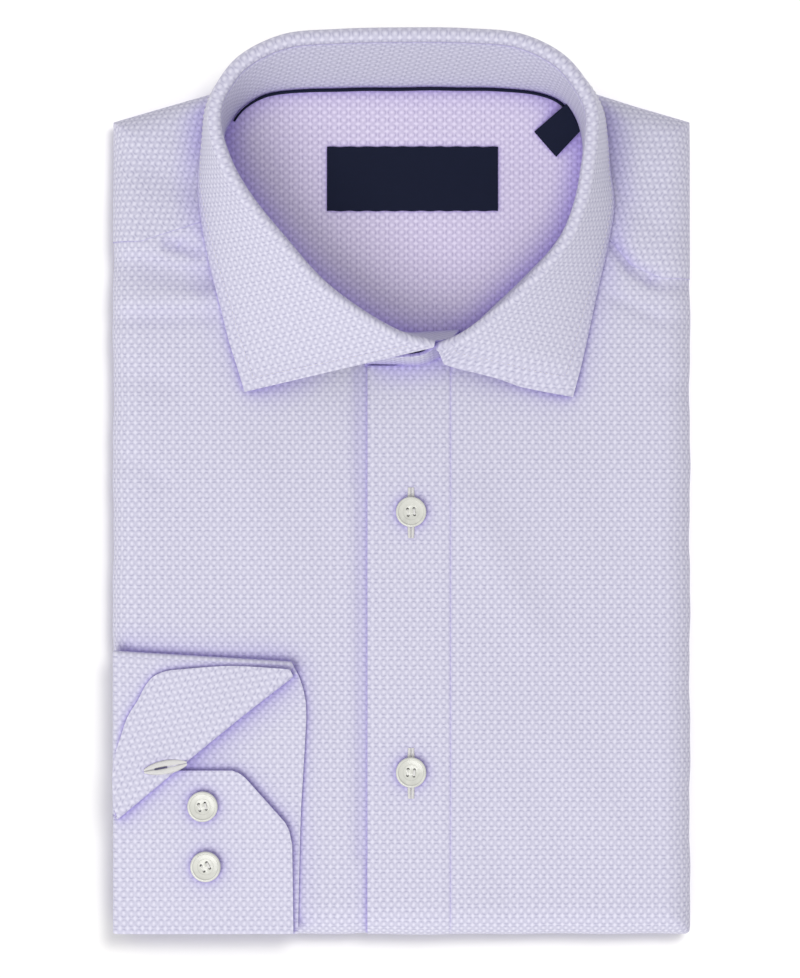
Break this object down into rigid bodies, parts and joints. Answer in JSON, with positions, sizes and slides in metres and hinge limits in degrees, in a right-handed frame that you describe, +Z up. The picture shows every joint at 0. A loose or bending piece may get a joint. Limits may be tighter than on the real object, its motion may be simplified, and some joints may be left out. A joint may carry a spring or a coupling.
{
  "type": "folded long sleeve dress shirt",
  "caption": "Long sleeve dress shirt folded flat for the shelf, with a standing collar, a button placket and a cuff laid across the lower front.",
  "frame": {"origin": "middle of the folded shirt's underside", "axes": "+Z up from the surface that the shirt lies on, +Y from the folded hem towards the neck, +X towards the side that carries the placket"},
  "size_m": [0.2348, 0.365, 0.0582],
  "materials": {
    "shirt_cloth": "fine cotton with a small repeat of thin lavender rings, soft matt",
    "collar_cloth": "the same cotton, fused and pressed firm",
    "inside_cloth": "the same cotton, turned a quarter, in the yoke",
    "navy_cloth": "dense navy woven label and tape, matt",
    "pearl_button": "pearly cream, polished"
  },
  "bodies": {
    "root": {"folded_layers": "shirt_cloth", "front_button_side": "shirt_cloth", "front_placket_side": "shirt_cloth", "placket": "shirt_cloth", "yoke": "shirt_cloth", "yoke_lining": "inside_cloth", "collar_band": "collar_cloth", "collar_leaf": "collar_cloth", "neck_tape": "navy_cloth", "label_main": "navy_cloth", "label_size": "navy_cloth", "cuff": "collar_cloth", "cuff_flap": "collar_cloth", "sleeve": "shirt_cloth", "front_button_upper": "pearl_button", "front_button_lower": "pearl_button", "cuff_button_outer": "pearl_button", "cuff_button_inner": "pearl_button"}
  },
  "joints": []
}
